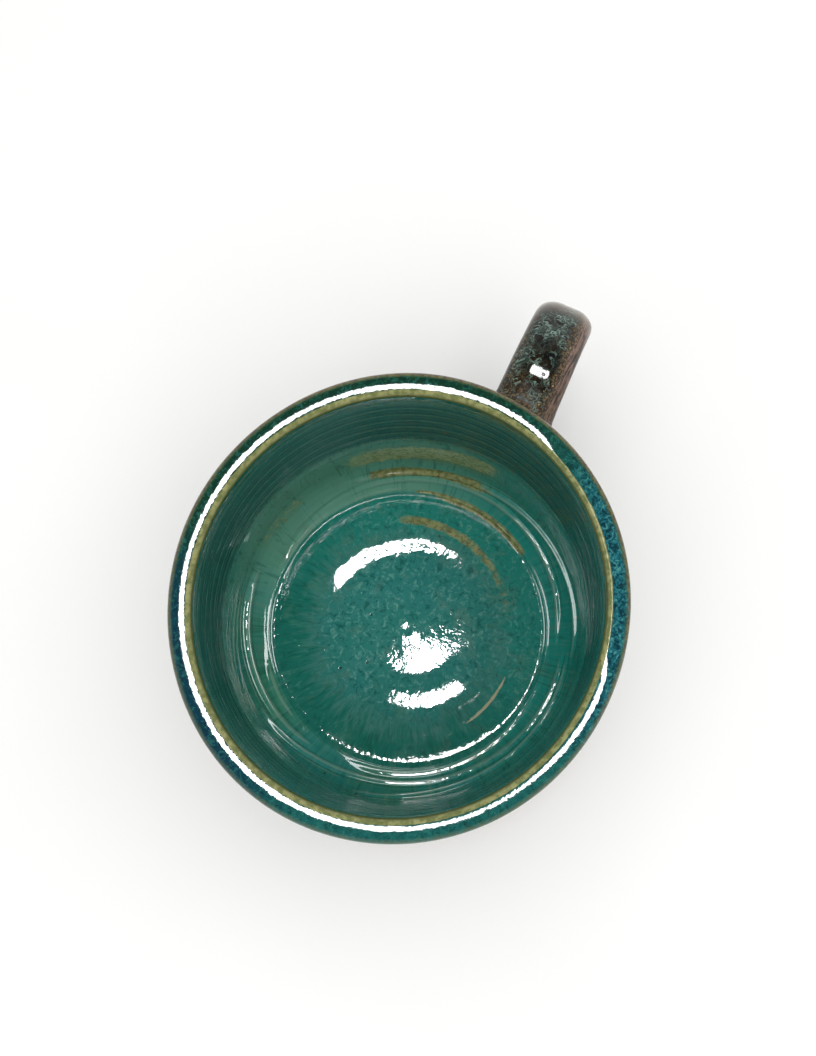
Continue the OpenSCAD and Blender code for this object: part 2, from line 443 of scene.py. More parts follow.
def lip_point(s, inset):
    """Over the lip: s runs 0 to 1 round the outside, 1 to 2 over the flat, 2 to 3 inwards."""
    tilt_out, tilt_in = math.radians(LIP_TURN - 1.8), math.radians(LIP_TURN + 1.8)
    r, z = RIM_R, MUG_H - LIP_OUT_R
    a = -math.pi / 2 + (math.pi / 2 + tilt_out) * min(s, 1)
    r -= LIP_OUT_R * (math.sin(a) + 1)
    z += LIP_OUT_R * math.cos(a)
    if s > 1:
        f = min(s - 1, 1)
        a = tilt_out + (tilt_in - tilt_out) * f
        r -= LIP_FLAT * f
        z -= LIP_FLAT * f * math.tan((tilt_out + a) / 2)
    if s > 2:
        f = s - 2
        a = tilt_in + (math.pi / 2 - tilt_in) * f
        r -= LIP_IN_R * (math.sin(a) - math.sin(tilt_in))
        z -= LIP_IN_R * (math.cos(tilt_in) - math.cos(a))
    nr, nz = -math.sin(a), math.cos(a)
    reach = math.exp(-((r - LIP_MID_R) / 3.0) ** 4)
    turn = np.radians(lip_flat_turn(PHI) - LIP_TURN)
    rise = (np.tan(turn) * (r - LIP_MID_R) * reach + 0.003 * lip_fine(PHI)) * max(nz, 0)
    return r - nr * inset, z - nz * inset + rise


def make_lip(material):
    rows = []
    end_z = MUG_H - LIP_OUT_R
    for z in np.linspace(RIM_OUT_Z, end_z, 12)[:-1]:
        rows.append(outside_ring(z, 0, over=-1.0, thin=0.25 + 0.3 * smooth(-5, 0, z - end_z)))
    for s in np.linspace(0, 3, 64):
        r, z = lip_point(s, 0)
        outer = math.exp(-((s - 0.38) / 0.32) ** 2) * (1 + 0.42 * np.cos(PHI - math.radians(25)))
        inner = smooth(1.78, 2.12, s) * (1 - 0.75 * smooth(2.7, 3.0, s))
        rows.append(ring(r, z, thin=np.maximum(0.66 * outer, inner), over=s))
    # down the inside to where the liner shows, then up the back of the coat and out again
    start_r, start_z, end_r = np.mean(r), np.mean(z), inner_r(RIM_IN_Z)
    for f in np.linspace(0, 1, 10)[1:]:
        z = start_z + (RIM_IN_Z - start_z) * f
        u = CORNER_ARC + (z - CORNER_Z)
        r = start_r + (end_r - start_r) * f
        rows.append(ring(r - wall_relief(PHI, u) * f, z, thin=0.25 + 0.25 * f, over=3 + f))
    for z in np.linspace(RIM_IN_Z, MUG_H - 1.9, 6):
        rows.append(ring(end_r + GLAZE, z, thin=0.0, over=4.0))
    for s in np.linspace(2.9, 0.0, 20):
        r, z = lip_point(s, GLAZE)
        rows.append(ring(r, z, thin=0.0, over=s))
    for z in np.linspace(end_z, RIM_OUT_Z, 6):
        rows.append(outside_ring(z, GLAZE, thin=0.0, over=-1.0))
    return round_piece("lip_skin", rows, material)


# ---- the outside ----

line_wave = wobble(71, 1, 12)
edge_wave = wobble(72, 6, 30)


def make_outside(material):
    line = GLAZE_LINE + 0.7 + 0.8 * line_wave(PHI) + 0.25 * edge_wave(PHI)
    rows = []
    for f in np.linspace(0, 1, 22):
        z = line + GLAZE_ROLL_H * f
        roll = np.sin(math.pi / 2 * min(f / 0.28, 1)) * (1 + 0.5 * math.exp(-((f - 0.4) / 0.28) ** 2))
        rows.append(outside_ring(z, GLAZE * (1 - roll), thin=0.35 * math.exp(-f / 0.1)))
    for f in np.linspace(0, 1, 116)[1:]:
        z = line + GLAZE_ROLL_H + (RIM_OUT_Z - line - GLAZE_ROLL_H) * f
        rows.append(outside_ring(z, 0, thin=np.clip(outside_relief(PHI, z) * 1.6, 0, 0.6)))
    for f in np.linspace(0, 1, 16):
        z = RIM_OUT_Z + (line - RIM_OUT_Z) * f
        rows.append(outside_ring(z, GLAZE + 0.01, thin=0.0))
    return round_piece("outside_skin", rows, material)


# ---- the clay body ----

RECESS_ROUND, EDGE_ROUND, HEEL_ROUND = 1.4, 0.9, 1.2
TURNED_TOP = 15.0  # the clay is turned smooth up to here, and follows the coat above it


def quarter(steps):
    """Sine and cosine along a quarter turn, without its start."""
    return [(math.sin(q), math.cos(q)) for q in np.linspace(0, math.pi / 2, steps)[1:]]


def foot_rings():
    """From the middle of the underside, over the foot ring, to the heel of the wall."""
    rows = []
    for r in np.linspace(POLE_R, FOOT_IN_R - RECESS_ROUND, 64):
        turning = 0.07 * math.cos(TAU * r / 3.1) + 0.04 * math.cos(TAU * r / 1.3 + 1)
        rows.append(ring(r, RECESS_H + turning - 0.3 * math.exp(-(r / 2.2) ** 2) + 0.006 * r))
    for sine, cosine in quarter(8):
        rows.append(ring(FOOT_IN_R - RECESS_ROUND * (1 - sine),
                         RECESS_H + 0.2 - RECESS_ROUND * (1 - cosine)))
    for z in (2.2, 1.6, 1.1):
        rows.append(ring(FOOT_IN_R + 0.02 * (2.8 - z), z))
    for sine, cosine in quarter(8):
        rows.append(ring(FOOT_IN_R + EDGE_ROUND - 0.85 * cosine, EDGE_ROUND * (1 - sine)))
    for r in np.linspace(FOOT_IN_R + 1.3, FOOT_R - 1.1, 8):
        rows.append(ring(r, 0.0))
    for sine, cosine in quarter(8):
        rows.append(ring(FOOT_R - EDGE_ROUND * (1 - sine), EDGE_ROUND * (1 - cosine)))
    for z in np.linspace(1.4, FOOT_H - 1.3, 8):
        rows.append(ring(FOOT_R + 0.04 * math.cos(TAU * z / 1.3), z))
    for sine, cosine in quarter(9):
        rows.append(ring(FOOT_R + HEEL_ROUND * (1 - cosine), FOOT_H - HEEL_ROUND + 1.25 * sine))
    return rows


def make_body(material):
    rows = foot_rings()
    span = BELLY_Z - FOOT_H
    for q in np.linspace(math.pi / 2 * 0.985, math.asin((BELLY_Z - TURNED_TOP) / span), 34):
        z = BELLY_Z - span * math.sin(q)
        turned = 0.05 * math.cos(TAU * z / 1.7) * smooth(5.5, 8, z)
        rows.append(ring(np.maximum(lower_r(z) - GLAZE + turned, HEEL_R - GLAZE), z))
    for z in np.linspace(TURNED_TOP + 0.8, RIM_OUT_Z, 48):
        rows.append(outside_ring(z, GLAZE + CORE_GAP))
    for s in np.linspace(0, 2.9, 18):
        rows.append(ring(*lip_point(s, GLAZE + CORE_GAP)))
    for u in np.linspace(WALL_LENGTH, 0.2, 60):
        rows.append(ring(*wall_point(u, GLAZE + CORE_GAP)))
    for r in np.linspace(33.4, POLE_R, 10):
        rows.append(ring(r, CLAY_FLOOR_Z - CORE_GAP))
    return round_piece("thrown_clay", rows, material, poles=True)


# ---- the handle ----

def bezier(points, t):
    points = [np.array(p, float) for p in points]
    while len(points) > 1:
        points = [a + (b - a) * t for a, b in zip(points, points[1:])]
    return points[0]


def strap_frame(t):
    """Centre of the strap at a station, and the way its back faces, in the strap's own plane."""
    centre = bezier(STRAP_CONTROLS, t)
    ahead = bezier(STRAP_CONTROLS, min(t + 1e-3, 1)) - bezier(STRAP_CONTROLS, max(t - 1e-3, 0))
    ahead = ahead / np.linalg.norm(ahead)
    return centre, np.array([-ahead[1], ahead[0]])


def strap_size(t):
    flare = max(0, 1 - min(t, 1 - t) / 0.16) ** 2
    wide = STRAP_W * (1 + STRAP_TAPER * (0.5 - t) * 0.5) + 0.4 * ROOT_FLARE * flare
    thick = STRAP_T * (1 + STRAP_TAPER * (0.5 - t)) + ROOT_FLARE * flare
    return wide / 2, thick / 2


def skewed(x, y):
    """The strap leaves the wall a little off the radial direction."""
    c, s = math.cos(STRAP_SKEW), math.sin(STRAP_SKEW)
    return STRAP_ROOT_R + (x - STRAP_ROOT_R) * c - y * s, (x - STRAP_ROOT_R) * s + y * c


def wall_gap(x, y, z):
    """How far a point stands outside the mug's outer wall, about."""
    lift, grow = warp(np.arctan2(y, x), z)
    shift = WARP_SHIFT * lift
    return np.hypot((x - shift) / grow, (y - shift) / grow) - outer_r(z)


strap_side = wobble(81, 1, 5, 0.0)
strap_lump = wobble(82, 2, 6, 0.05)


def strap_place(centre, back, across, up):
    x, y = skewed(centre[0] + back[0] * up, across)
    return x, y, centre[1] + back[1] * up


def strap_ring(t, inset, count, fillet=False):
    """One section of the strap at station t, 0 to 1 along it, as points and their attributes."""
    centre, back = strap_frame(t)
    wide, thick = strap_size(t)
    a = TAU * (np.arange(count) + 0.5) / count
    across = np.sign(np.cos(a)) * np.abs(np.cos(a)) ** SECTION_POWER
    up = np.sign(np.sin(a)) * np.abs(np.sin(a)) ** SECTION_POWER
    uneven = 0.06 * strap_lump(a, 40 * t) + 0.10 * strap_side(TAU * t)
    ribs = -0.06 * np.cos(across * TAU * 1.1) * (up > 0) * np.clip(1 - across ** 4, 0, 1)
    relief = (uneven + ribs) if inset == 0 else 0.0
    w = across * (wide - inset + relief * 0.6)
    h = up * (thick - inset + relief)
    # the back is bevelled along one side, most of all on the upper half of the strap
    bevel = STRAP_BEVEL * (1 - 0.8 * smooth(*BEVEL_FADE, t))
    h = h - bevel * smooth(0.42, 1.0, -across) * np.clip(up, 0, 1) ** 0.5
    x, y, z = strap_place(centre, back, w, h)
    if fillet:
        near = np.clip(wall_gap(x, y, z) / ROOT_FILLET, 0, 1)
        push = ROOT_FILLET * (1 - np.sqrt(np.clip(1 - (1 - near) ** 2, 0, 1)))
        length = np.hypot(w / wide, h / thick)
        w = w + push * (w / wide) / length
        h = h + push * (h / thick) / length
        x, y, z = strap_place(centre, back, w, h)
    data = {"side": across, "outward": up, "along": np.full(count, t),
            "gap": np.clip(wall_gap(x, y, z), -5, 40)}
    return np.stack([x, y, z], axis=-1), data


def root_station(near_start):
    """The station near one end at which the centreline comes out to ROOT_DEPTH under the wall."""
    for i in range(400):
        t = i * 0.0005 if near_start else 1 - i * 0.0005
        centre = strap_frame(t)[0]
        if wall_gap(*skewed(centre[0], 0.0), centre[1]) > -ROOT_DEPTH:
            return t
    return 0.03 if near_start else 0.97


def strap_mesh(rings, count, wrap):
    """Points, attributes and faces of sections that follow one another."""
    points = np.vstack([r[0] for r in rings])
    data = {n: np.concatenate([r[1][n] for r in rings]) for n in rings[0][1]}
    return points, data, [f[::-1] for f in grid_faces(len(rings), count, wrap)]


def make_handle(material):
    """The coat over the strap, closed by its own inner face; sections are close at both roots."""
    first, last, count = root_station(True), root_station(False), 88
    span = last - first
    stations = [first + span * 0.10 * i / 26 for i in range(26)]
    stations += [first + span * (0.10 + 0.80 * i / 130) for i in range(130)]
    stations += [first + span * (0.90 + 0.10 * i / 26) for i in range(27)]
    outer = [strap_ring(t, 0, count, fillet=True) for t in stations]
    inner = [strap_ring(t, GLAZE + 0.02, count) for t in stations[::3] + [stations[-1]]]
    points, data, faces = strap_mesh(outer + inner[::-1], count, True)
    return make_object("handle_skin", points, faces, data, material)


def make_strap_clay(material):
    """The clay strap under the handle's glaze, from inside the wall to inside the wall."""
    count = 64
    stations = np.linspace(root_station(True), root_station(False), 121)
    rings = [strap_ring(t, GLAZE + 0.06, count) for t in stations]
    points, data, faces = strap_mesh(rings, count, False)
    points, data = close_ends(points, data, faces, count, False)
    return make_object("strap_clay", points, faces, {}, material)


# ---------------- materials

def rgb(r, g, b):
    """A colour as seen on a screen, 0 to 255, as the linear light that a shader takes."""
    def lin(v):
        v /= 255
        return v / 12.92 if v <= 0.04045 else ((v + 0.055) / 1.055) ** 2.4
    return (lin(r), lin(g), lin(b), 1.0)


class Surface:
    """Builds one material's nodes. Lengths are in millimetres."""

    def __init__(self, name):
        self.material = bpy.data.materials.new(name)
        self.material.use_nodes = True
        tree = self.material.node_tree
        tree.nodes.clear()
        self.nodes, self.links = tree.nodes, tree.links
        self.shader = self.node("BsdfPrincipled")
        self.links.new(self.shader.outputs[0], self.node("OutputMaterial").inputs[0])
        self.place = self.scaled(self.node("TexCoord").outputs["Object"], 1000.0)

    def put(self, socket, value):
        if isinstance(value, bpy.types.NodeSocket):
            self.links.new(value, socket)
        else:
            socket.default_value = value

    def node(self, kind, **inputs):
        """A new node with numbers or links for its inputs, whose names take _ for a space."""
        node = self.nodes.new("ShaderNode" + kind)
        for name, value in inputs.items():
            self.put(node.inputs[name.replace("_", " ")], value)
        return node

    def vector_math(self, operation, a, b=None):
        node = self.node("VectorMath")
        node.operation = operation
        self.put(node.inputs[0], a)
        if b is not None:
            self.put(node.inputs[1], b)
        return node.outputs

    def scaled(self, vector, factor):
        return self.vector_math("MULTIPLY", vector, (factor, factor, factor))[0]

    def moved(self, vector, by):
        return self.vector_math("ADD", vector, by)[0]

    def math(self, operation, a, b=0.0):
        node = self.node("Math")
        node.operation = operation
        self.put(node.inputs[0], a)
        self.put(node.inputs[1], b)
        return node.outputs[0]

    def times(self, a, b):
        return self.math("MULTIPLY", a, b)

    def plus(self, a, b):
        return self.math("ADD", a, b)

    def minus(self, a, b):
        return self.math("SUBTRACT", a, b)

    def larger(self, a, b):
        return self.math("MAXIMUM", a, b)

    def attributes(self, *names):
        """Values that the mesh carries at each of its points."""
        nodes = [self.node("Attribute") for _ in names]
        for node, name in zip(nodes, names):
            node.attribute_name = name
        return [node.outputs["Fac"] for node in nodes]

    def noise(self, size, detail=2.0, rough=0.5, twist=0.0, vector=None, shift=0.0):
        at = self.place if vector is None else vector
        if shift:
            at = self.moved(at, (shift, -shift * 0.7, shift * 1.3))
        return self.node("TexNoise", Vector=at, Scale=1.0 / size, Detail=detail, Roughness=rough,
                         Distortion=twist).outputs["Fac"]

    def cells(self, size, shift):
        """Distance to the nearest of points scattered about size apart."""
        at = self.moved(self.place, (shift, shift * 0.6, -shift))
        return self.node("TexVoronoi", Vector=at, Scale=1.0 / size).outputs["Distance"]

    def step(self, value, lo, hi, out_lo=0.0, out_hi=1.0):
        """A soft change from out_lo to out_hi while the value goes from lo to hi."""
        node = self.node("MapRange", Value=value, From_Min=lo, From_Max=hi, To_Min=out_lo, To_Max=out_hi)
        node.interpolation_type = "SMOOTHSTEP"
        return node.outputs[0]

    def blend(self, amount, a, b):
        node = self.node("Mix")
        node.data_type = "RGBA"
        for socket, value in zip((node.inputs[0], node.inputs[6], node.inputs[7]), (amount, a, b)):
            self.put(socket, value)
        return node.outputs[2]

    def cover(self, base, coat, *amounts):
        """A colour laid over another, by the product of the amounts."""
        amount = amounts[0]
        for factor in amounts[1:]:
            amount = self.times(amount, factor)
        return self.blend(amount, base, coat)

    def marbled(self, colour, noise, zone, *shades):
        """Lay shades (colour, from, to, amount) over a zone, as a noise goes from one value to another."""
        for shade, lo, hi, amount in shades:
            colour = self.cover(colour, shade, self.step(noise, lo, hi), zone, amount)
        return colour

    def parts(self, vector):
        return self.node("SeparateXYZ", Vector=vector).outputs

    def join(self, x, y, z):
        return self.node("CombineXYZ", X=x, Y=y, Z=z).outputs[0]

    def round_place(self):
        """(distance from the pot's axis, unit direction x, unit direction y, height)."""
        flat = self.vector_math("MULTIPLY", self.place, (1, 1, 0))[0]
        length = self.vector_math("LENGTH", flat)["Value"]
        sides = self.parts(self.vector_math("NORMALIZE", flat)[0])
        return length, sides[0], sides[1], self.parts(self.place)[2]

    def drawn_out(self, x, y, across, along, stretch):
        """A place for noise that goes round the axis and is drawn out along one measure."""
        return self.join(self.times(x, across), self.times(y, across), self.times(along, stretch))

    def facing(self, degrees, lo, hi):
        """1 on the side of the pot that faces a direction, 0 away from it."""
        _, x, y, _ = self.round_place()
        a = math.radians(degrees)
        return self.step(self.plus(self.times(x, math.cos(a)), self.times(y, math.sin(a))), lo, hi)

    def relief(self, height, depth_mm, below=None):
        node = self.node("Bump", Strength=1.0, Distance=depth_mm * MM, Height=height)
        if below is not None:
            self.links.new(below, node.inputs["Normal"])
        return node.outputs[0]

    def finish(self, colour, roughness, normal, ior=1.5, shine=0.5):
        self.put(self.shader.inputs["Base Color"], colour)
        self.put(self.shader.inputs["Roughness"], roughness)
        self.put(self.shader.inputs["Normal"], normal)
        self.shader.inputs["IOR"].default_value = ior
        self.shader.inputs["Specular IOR Level"].default_value = shine
        return self.material


def dots(m, size, reach, shift, keep=1.0):
    """Scattered round marks: about size apart, reach across, only some of the cells kept."""
    near = m.cells(size, shift=shift)
    mark = m.step(near, reach / size, reach / size * 0.55)
    chosen = m.step(m.noise(size * 1.7, 0.0, shift=shift + 9), keep, keep + 0.03)
    return m.times(mark, chosen)


def teal_liner():
    m = Surface("teal_liner_glaze")
    r, dx, dy, z = m.round_place()
    pool, thin, up, worn, scratch = m.attributes("pool", "thin", "up", "worn", "scratch")
    on_wall = m.minus(1.0, pool)

    # broad drift of colour, from green-teal to blue-teal
    drift = m.step(m.noise(17), 0.40, 0.62)
    colour = m.blend(drift, rgb(66, 146, 122), rgb(56, 148, 140))
    colour = m.blend(m.facing(-58, -0.1, 0.9), colour, rgb(44, 158, 146))
    # a painted sheen: the far side of the wall is laid over with a paler tint
    colour = m.cover(colour, rgb(118, 176, 152), m.facing(60, 0.3, 0.95), 0.8)
    pool_drift = m.step(m.noise(14, shift=31), 0.38, 0.62)
    floor = m.blend(pool_drift, rgb(38, 130, 114), rgb(44, 134, 126))
    colour = m.blend(pool, colour, floor)
    ring_zone = m.times(m.step(r, 22, 28), pool)
    from_handle = m.facing(170, -0.6, 0.7)
    ring_tone = m.blend(from_handle, rgb(38, 150, 136), rgb(18, 122, 106))
    colour = m.cover(colour, ring_tone, ring_zone, 0.8)

    # a greyed, bluer cloud in the middle, with a feathered edge
    feather = m.noise(1.6, 3.0, 0.6, 0.5, vector=m.drawn_out(dx, dy, 24, r, 0.12))
    reach = m.plus(r, m.times(m.minus(feather, 0.5), -20.0))
    cloud = m.times(m.step(reach, 31, 25), pool)
    colour = m.cover(colour, rgb(54, 140, 134), cloud, 0.62)
    rim_of_cloud = m.times(m.step(reach, 22, 26), cloud)
    colour = m.cover(colour, rgb(98, 142, 126), rim_of_cloud, 0.3)
    patch = m.times(m.step(m.noise(8, 3.0, 0.6, 0.4, shift=3), 0.53, 0.68), 0.38)
    colour = m.blend(patch, colour, rgb(96, 140, 124))

    # hare's fur: short streaks that run outwards over the pool and down the wall
    fur = m.noise(1.1, 3.0, 0.66, 0.8, vector=m.drawn_out(dx, dy, 30, r, 0.26))
    furred = m.facing(165, -0.5, 0.4)
    fur_zone = m.times(m.step(r, 21, 28), m.times(pool, m.plus(0.2, furred)))
    colour = m.marbled(colour, fur, fur_zone, (rgb(92, 160, 140), 0.52, 0.74, 0.42),
                       (rgb(14, 90, 76), 0.50, 0.32, 0.50))
    run = m.noise(1.4, 3.0, 0.62, 0.6, vector=m.drawn_out(dx, dy, 45, z, 0.14))
    colour = m.marbled(colour, run, on_wall, (rgb(112, 162, 140), 0.50, 0.72, 0.50),
                       (rgb(30, 96, 78), 0.48, 0.30, 0.55))

    # fine mottle in the middle of the floor
    middle = m.times(m.larger(m.step(r, 29, 20), m.minus(0.85, furred)), pool)
    mottle = m.noise(1.7, 4.0, 0.68, 0.9, shift=5)
    colour = m.marbled(colour, mottle, middle, (rgb(118, 178, 164), 0.53, 0.66, 0.62),
                       (rgb(12, 88, 84), 0.47, 0.34, 0.75))

    # the upper wall is painted darker as shade, lighter on the far side and with a painted grey sheen on
    # the near side; faint level bands run over it
    band = m.noise(2.3, 3.0, 0.62, vector=m.drawn_out(dx, dy, 7, z, 1.0), shift=2)
    edge = m.plus(up, m.times(m.minus(run, 0.5), 9.0))
    high = m.step(edge, 32, 41)
    # painted shade for the upper wall, with a painted grey sheen on the side nearest the camera
    deep = m.blend(m.facing(-148, 0.2, 0.9), rgb(10, 50, 44), rgb(66, 112, 106))
    deep = m.blend(m.facing(40, 0.5, 0.95), deep, rgb(36, 72, 64))
    colour = m.cover(colour, deep, high, 0.88)
    colour = m.marbled(colour, band, high, (rgb(58, 96, 90), 0.52, 0.66, 0.5),
                       (rgb(14, 44, 38), 0.48, 0.36, 0.5))

    # olive and brown where the coat is thin, and pale lines on the sharpest crests, which are partly the
    # glaze breaking lighter and partly painted highlights
    ragged = m.noise(1.6, 3.0, 0.65, 0.4, shift=4)
    fray = m.minus(ragged, 0.5)
    # pale crest lines: glaze breaking lighter, and painted highlights where the ledges gleam
    crest = m.step(m.plus(thin, m.times(fray, 0.5)), 0.35, 0.75)
    colour = m.cover(colour, rgb(150, 186, 168), crest, on_wall, 0.45)
    bare = m.step(m.plus(worn, m.times(fray, 0.9)), 0.32, 0.70)
    lip_olive = m.step(m.plus(up, m.times(fray, 2.4)), WALL_LENGTH - 1.4, WALL_LENGTH + 0.8)
    bare = m.larger(bare, m.times(lip_olive, 0.7))
    tone = m.noise(1.3, 3.0, 0.6, shift=6)
    olive = m.blend(m.step(tone, 0.38, 0.60), rgb(118, 118, 62), rgb(164, 164, 100))
    swelling = m.times(m.step(up, 9, 14), m.step(up, 40, 34))
    pale_olive = m.blend(m.step(tone, 0.38, 0.60), rgb(170, 172, 104), rgb(222, 216, 156))
    olive = m.blend(swelling, olive, pale_olive)
    olive = m.blend(m.step(m.noise(1.0, shift=9), 0.60, 0.72), olive, rgb(126, 88, 52))
    colour = m.cover(colour, olive, bare, 0.9)
    colour = m.blend(m.step(m.plus(scratch, m.times(fray, 0.8)), 0.40, 0.75), colour, rgb(198, 190, 156))

    # spots: dark pits, brown pinholes, pale specks
    dark = dots(m, 6.5, 0.50, 1.0, 0.54)
    brown = dots(m, 8.0, 0.42, 23.0, 0.54)
    pale = dots(m, 5.0, 0.20, 41.0, 0.55)
    colour = m.cover(colour, rgb(22, 44, 34), dark, 0.8)
    colour = m.cover(colour, rgb(158, 102, 66), brown, 0.8)
    colour = m.cover(colour, rgb(196, 210, 196), pale, 0.6)

    lines = m.noise(0.6, 1.0, 0.5, vector=m.drawn_out(dx, dy, 3, z, 1.0))
    below = m.relief(m.times(lines, on_wall), 0.05)
    peel, grain = m.noise(2.2, 2.0, 0.55), m.noise(0.8, 1.0, 0.5, shift=7)
    rough_spot = m.times(m.step(r, 27, 12), pool)
    height = m.plus(m.times(peel, 0.6),
                    m.times(grain, m.plus(0.09, m.times(rough_spot, 0.04))))
    height = m.minus(height, m.times(dark, 1.5))
    normal = m.relief(height, 0.05, below=below)
    gloss = m.plus(m.step(m.noise(6), 0.35, 0.7, 0.03, 0.06), m.times(bare, 0.08))
    return m.finish(colour, gloss, normal, 1.52)


def lip_glaze():
    m = Surface("blue_green_lip_glaze")
    over, thin = m.attributes("over", "thin")
    z = m.parts(m.place)[2]
    ragged = m.noise(1.3, 3.0, 0.65, 0.5)
    fleck = m.noise(1.1, 4.0, 0.68, 0.9, shift=11)

    # round the mug it goes from green at the handle to deep blue, teal, and a mottled blue
    colour = rgb(24, 96, 92)
    colour = m.blend(m.facing(50, 0.05, 0.75), colour, rgb(14, 58, 42))
    colour = m.cover(colour, rgb(8, 52, 74), m.facing(142, 0.70, 0.96), 0.9)
    colour = m.marbled(colour, fleck, 1.0, (rgb(56, 132, 120), 0.50, 0.64, 0.45),
                       (rgb(6, 42, 40), 0.48, 0.36, 0.6))
    bright = m.times(m.facing(-58, 0.70, 0.93), 0.85)
    blues = m.blend(m.step(fleck, 0.42, 0.54), rgb(8, 50, 62), rgb(30, 108, 122))
    blues = m.cover(blues, rgb(92, 164, 156), m.step(fleck, 0.54, 0.66), 0.8)
    colour = m.blend(bright, colour, blues)

    # the outermost edge breaks to green, then to olive brown, and the inner edge to a clear olive
    fray = m.times(m.minus(ragged, 0.5), 0.9)
    bare = m.step(m.plus(thin, fray), 0.34, 0.74)
    halo = m.step(m.plus(thin, fray), 0.08, 0.46)
    olive = m.blend(m.step(m.noise(1.4, 3.0, 0.6, shift=6), 0.38, 0.62), rgb(120, 126, 74),
                    rgb(168, 168, 112))
    brown = m.blend(m.step(m.noise(1.0, shift=8), 0.40, 0.62), rgb(104, 98, 50), rgb(76, 54, 30))
    colour = m.cover(colour, rgb(50, 84, 38), halo, 0.6)
    olive = m.blend(m.step(over, 2.15, 2.8), olive, rgb(92, 98, 50))
    break_colour = m.blend(m.step(over, 1.2, 1.6), brown, olive)
    colour = m.cover(colour, break_colour, bare, 0.92)
    # down the inside it turns to the painted shade of the liner's upper wall
    inside = m.step(m.plus(over, fray), 2.75, 3.35)
    colour = m.blend(inside, colour, rgb(20, 66, 56))
    # down the outside it runs into the dark coat below
    low = m.step(z, RIM_OUT_Z + 5.5, RIM_OUT_Z + 0.5)
    outside = m.step(over, 0.0, -0.5)
    colour = m.cover(colour, rgb(36, 34, 26), low, outside, m.step(ragged, 0.38, 0.56))

    specks = dots(m, 2.6, 0.26, 5.0, 0.48)
    colour = m.cover(colour, rgb(40, 32, 18), specks, 0.8)
    peel, grain = m.noise(2.4, 2.0, 0.55), m.noise(0.7, 1.0, 0.5, shift=7)
    height = m.plus(m.times(peel, 0.25), m.times(grain, 0.10))
    normal = m.relief(m.minus(height, specks), 0.04)
    gloss = m.plus(0.035, m.times(bare, 0.07))
    return m.finish(colour, gloss, normal, 1.52)


def dark_mottle(m, seed):
    """Near-black brown with pale blue-green worms that gather in clouds."""
    base = m.blend(m.step(m.noise(4.5, 3.0, 0.6, shift=seed), 0.42, 0.64), rgb(13, 15, 13),
                   rgb(32, 25, 16))
    swirl = m.noise(2.2, 1.0, 0.5, shift=seed + 3)
    at = m.moved(m.place, m.join(m.times(swirl, 3.4), m.times(swirl, -2.6), swirl))
    worm = m.noise(1.7, 2.5, 0.6, 0.9, vector=at, shift=seed + 5)
    ridge = m.math("ABSOLUTE", m.minus(worm, 0.5))
    cloud = m.step(m.noise(5.0, 2.0, 0.6, shift=seed + 7), 0.40, 0.58, 0.15, 1.0)
    threads = m.times(m.step(ridge, 0.050, 0.012), cloud)
    haze = m.times(m.step(worm, 0.50, 0.68), cloud)
    colour = m.cover(base, rgb(64, 90, 83), haze, 0.6)
    colour = m.cover(colour, rgb(124, 152, 140), threads, 0.75)
    holes = dots(m, 2.8, 0.55, seed + 12, 0.44)
    colour = m.cover(colour, rgb(10, 11, 9), holes, 0.9)
    swell = m.noise(1.8, 1.0, 0.5, shift=seed + 15)
    return colour, m.minus(m.times(swell, 0.5), m.times(holes, 0.5))


def thin_speckle(m):
    """Dark brown with golden grit, where the dark coat runs thin."""
    grit = m.noise(0.55, 2.0, 0.7, shift=17)
    colour = m.blend(m.step(grit, 0.48, 0.62), rgb(34, 24, 14), rgb(116, 90, 54))
    return m.blend(dots(m, 1.5, 0.20, 29.0, 0.46), colour, rgb(206, 170, 96))


def dark_handle():
    m = Surface("dark_handle_glaze")
    side, outward, along, gap = m.attributes("side", "outward", "along", "gap")
    colour, swell = dark_mottle(m, 2.0)
    fray = m.times(m.minus(m.noise(1.3, 3.0, 0.65, shift=14), 0.5), 0.40)

    # the coat thins on the bevel and the sides: speckled brown, pinkish clay streaks, then grey
    bevel = m.plus(m.times(side, -1.0), fray)
    far_side = m.plus(side, fray)
    speckle = thin_speckle(m)
    corner = m.larger(m.times(m.step(bevel, 0.34, 0.60), 0.9),
                      m.times(m.step(far_side, 0.70, 0.92), 0.6))
    colour = m.blend(corner, colour, speckle)
    streak_at = m.join(m.times(side, 11), m.times(along, 14), m.times(outward, 5))
    streak = m.noise(1.0, 3.0, 0.62, 1.0, vector=m.moved(streak_at, m.scaled(m.place, 0.10)), shift=19)
    clay = m.blend(m.step(streak, 0.42, 0.58), rgb(34, 25, 19), rgb(126, 98, 84))
    grey = m.blend(m.step(streak, 0.42, 0.60), rgb(34, 34, 27), rgb(92, 98, 86))
    clay = m.blend(m.step(m.plus(bevel, fray), 0.92, 1.06), clay, grey)
    flank = m.step(bevel, 0.62, 0.76)
    colour = m.cover(colour, clay, flank, 0.92)
    colour = m.cover(colour, clay, m.step(far_side, 0.96, 1.06), 0.8)
    # over the outermost bend it turns to a greyed beige veil
    bend = m.times(m.step(along, 0.335, 0.40), m.step(along, 0.66, 0.50))
    veil = m.noise(2.0, 3.0, 0.6, 0.8, shift=21)
    colour = m.cover(colour, rgb(116, 98, 76), bend, m.step(veil, 0.40, 0.62, 0.35, 0.8))
    # browner, with golden grit, where it meets the wall
    root = m.times(m.step(gap, 13.0, 1.0), m.step(m.noise(2.4, 3.0, 0.6, shift=25), 0.36, 0.60))
    colour = m.cover(colour, speckle, root, 0.8)

    normal = m.relief(swell, 0.05)
    gloss = m.plus(0.05, m.times(flank, 0.25))
    gloss = m.larger(gloss, m.step(gap, 8.0, 4.0, 0.05, 0.40))
    return m.finish(colour, gloss, normal, 1.5, 0.3)


